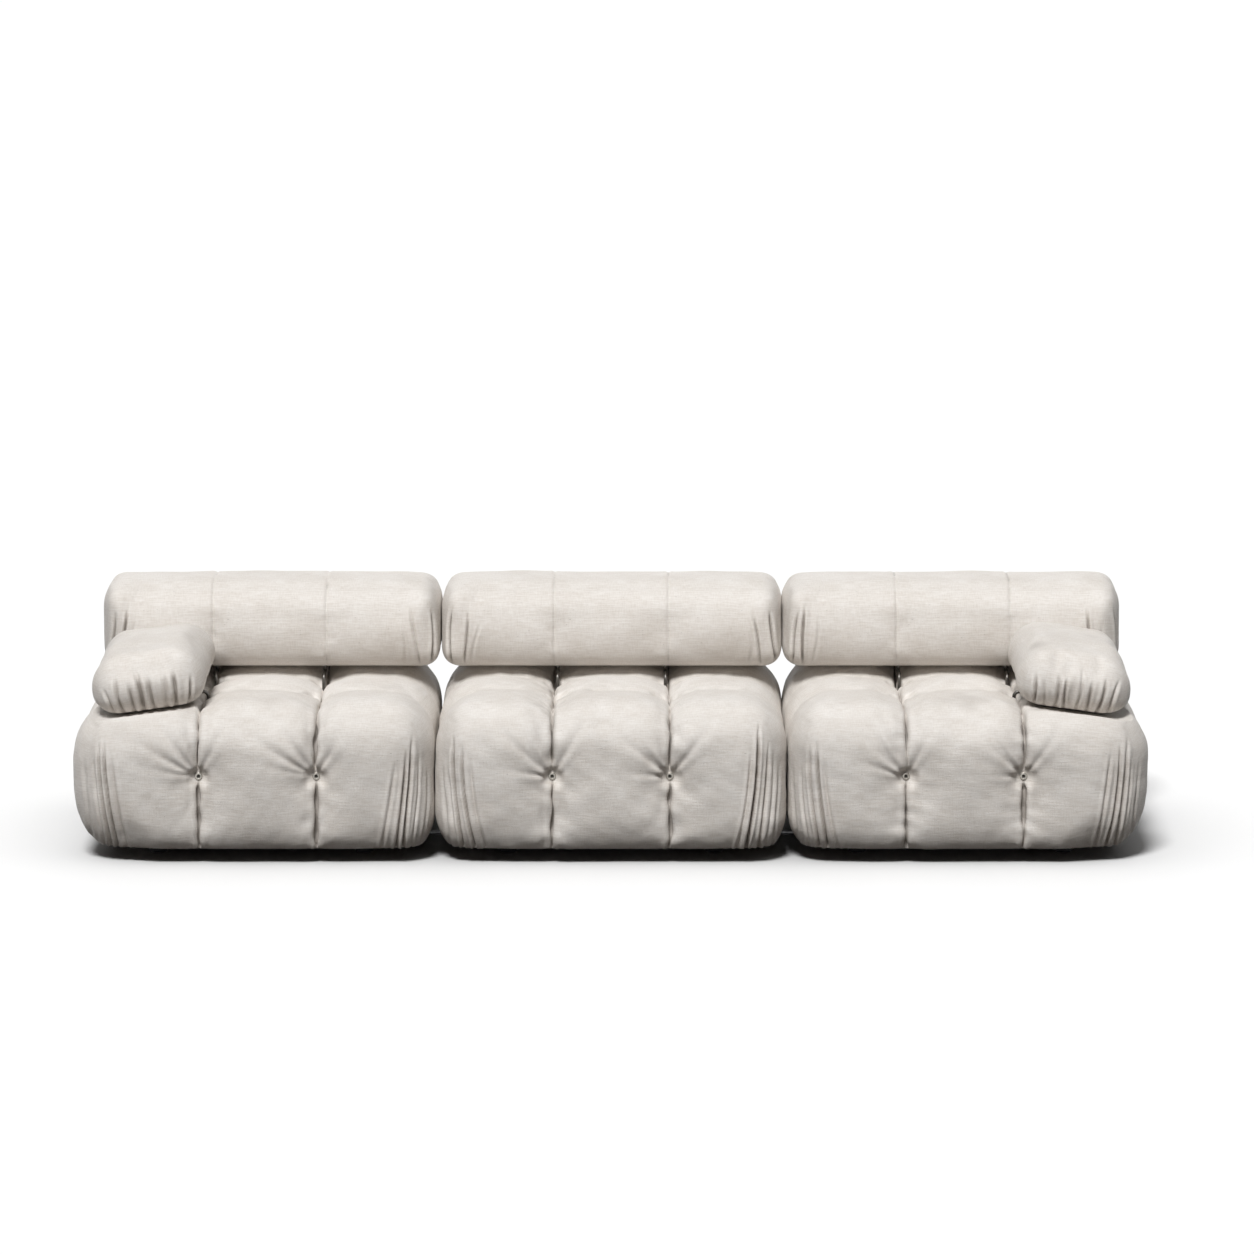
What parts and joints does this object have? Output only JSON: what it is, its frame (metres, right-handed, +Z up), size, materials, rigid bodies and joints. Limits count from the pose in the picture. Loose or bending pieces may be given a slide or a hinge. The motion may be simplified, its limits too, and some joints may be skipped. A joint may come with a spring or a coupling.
{
  "type": "modular sofa",
  "caption": "Low modular sofa of tufted square seats linked side by side on short feet, with lift-off bolster backs and arm cushions hooked into the seat tufts.",
  "frame": {"origin": "on the floor, under the middle of the sofa", "axes": "+X to the right along the row of modules as seen from the front, -Y towards the person in front of the sofa, +Z up"},
  "size_m": [2.9032, 0.9614, 0.6776],
  "materials": {
    "cover_cloth": "slubby linen-like weave",
    "foam": "open-cell foam block",
    "plywood": "raw birch plywood",
    "dust_cloth": "non-woven cloth",
    "foot_plastic": "fine grain",
    "steel": "zinc plated",
    "bright_metal": "polished",
    "cord": "braided"
  },
  "bodies": {
    "left_seat": {"seat_cover_left": "cover_cloth", "seat_foam_left": "foam", "base_board_left": "plywood", "dust_cloth_left": "dust_cloth", "feet_left": "foot_plastic", "foot_bolts_left": "steel", "face_eyelets_left": "bright_metal", "pull_cords_left": "cord", "tuft_sockets_left": "bright_metal", "tuft_cords_left": "cord", "link_brackets_left": "steel"},
    "left_back": {"back_cover_left": "cover_cloth", "back_foam_left": "foam", "back_slat_left": "plywood", "back_hooks_left": "steel"},
    "middle_seat": {"seat_cover_middle": "cover_cloth", "seat_foam_middle": "foam", "base_board_middle": "plywood", "dust_cloth_middle": "dust_cloth", "feet_middle": "foot_plastic", "foot_bolts_middle": "steel", "face_eyelets_middle": "bright_metal", "pull_cords_middle": "cord", "tuft_sockets_middle": "bright_metal", "tuft_cords_middle": "cord", "link_brackets_middle": "steel", "link_pins_left": "steel", "link_pins_right": "steel"},
    "middle_back": {"back_cover_middle": "cover_cloth", "back_foam_middle": "foam", "back_slat_middle": "plywood", "back_hooks_middle": "steel"},
    "right_seat": {"seat_cover_right": "cover_cloth", "seat_foam_right": "foam", "base_board_right": "plywood", "dust_cloth_right": "dust_cloth", "feet_right": "foot_plastic", "foot_bolts_right": "steel", "face_eyelets_right": "bright_metal", "pull_cords_right": "cord", "tuft_sockets_right": "bright_metal", "tuft_cords_right": "cord", "link_brackets_right": "steel"},
    "right_back": {"back_cover_right": "cover_cloth", "back_foam_right": "foam", "back_slat_right": "plywood", "back_hooks_right": "steel"},
    "left_arm": {"arm_cover_left": "cover_cloth", "arm_foam_left": "foam", "arm_slat_left": "plywood", "arm_hook_left": "steel"},
    "right_arm": {"arm_cover_right": "cover_cloth", "arm_foam_right": "foam", "arm_slat_right": "plywood", "arm_hook_right": "steel"}
  },
  "joints": [
    {"name": "left_seat_pulls_away", "type": "slide", "parent": "middle_seat", "child": "left_seat", "axis": [-1, 0, 0], "range_m": [0, 0.3]},
    {"name": "right_seat_pulls_away", "type": "slide", "parent": "middle_seat", "child": "right_seat", "axis": [1, 0, 0], "range_m": [0, 0.3]},
    {"name": "left_back_lifts_off", "type": "slide", "parent": "left_seat", "child": "left_back", "axis": [0, 0, 1], "range_m": [0, 0.3]},
    {"name": "middle_back_lifts_off", "type": "slide", "parent": "middle_seat", "child": "middle_back", "axis": [0, 0, 1], "range_m": [0, 0.3]},
    {"name": "right_back_lifts_off", "type": "slide", "parent": "right_seat", "child": "right_back", "axis": [0, 0, 1], "range_m": [0, 0.3]},
    {"name": "left_arm_lifts_off", "type": "slide", "parent": "left_seat", "child": "left_arm", "axis": [0, 0, 1], "range_m": [0, 0.3]},
    {"name": "right_arm_lifts_off", "type": "slide", "parent": "right_seat", "child": "right_arm", "axis": [0, 0, 1], "range_m": [0, 0.3]}
  ]
}
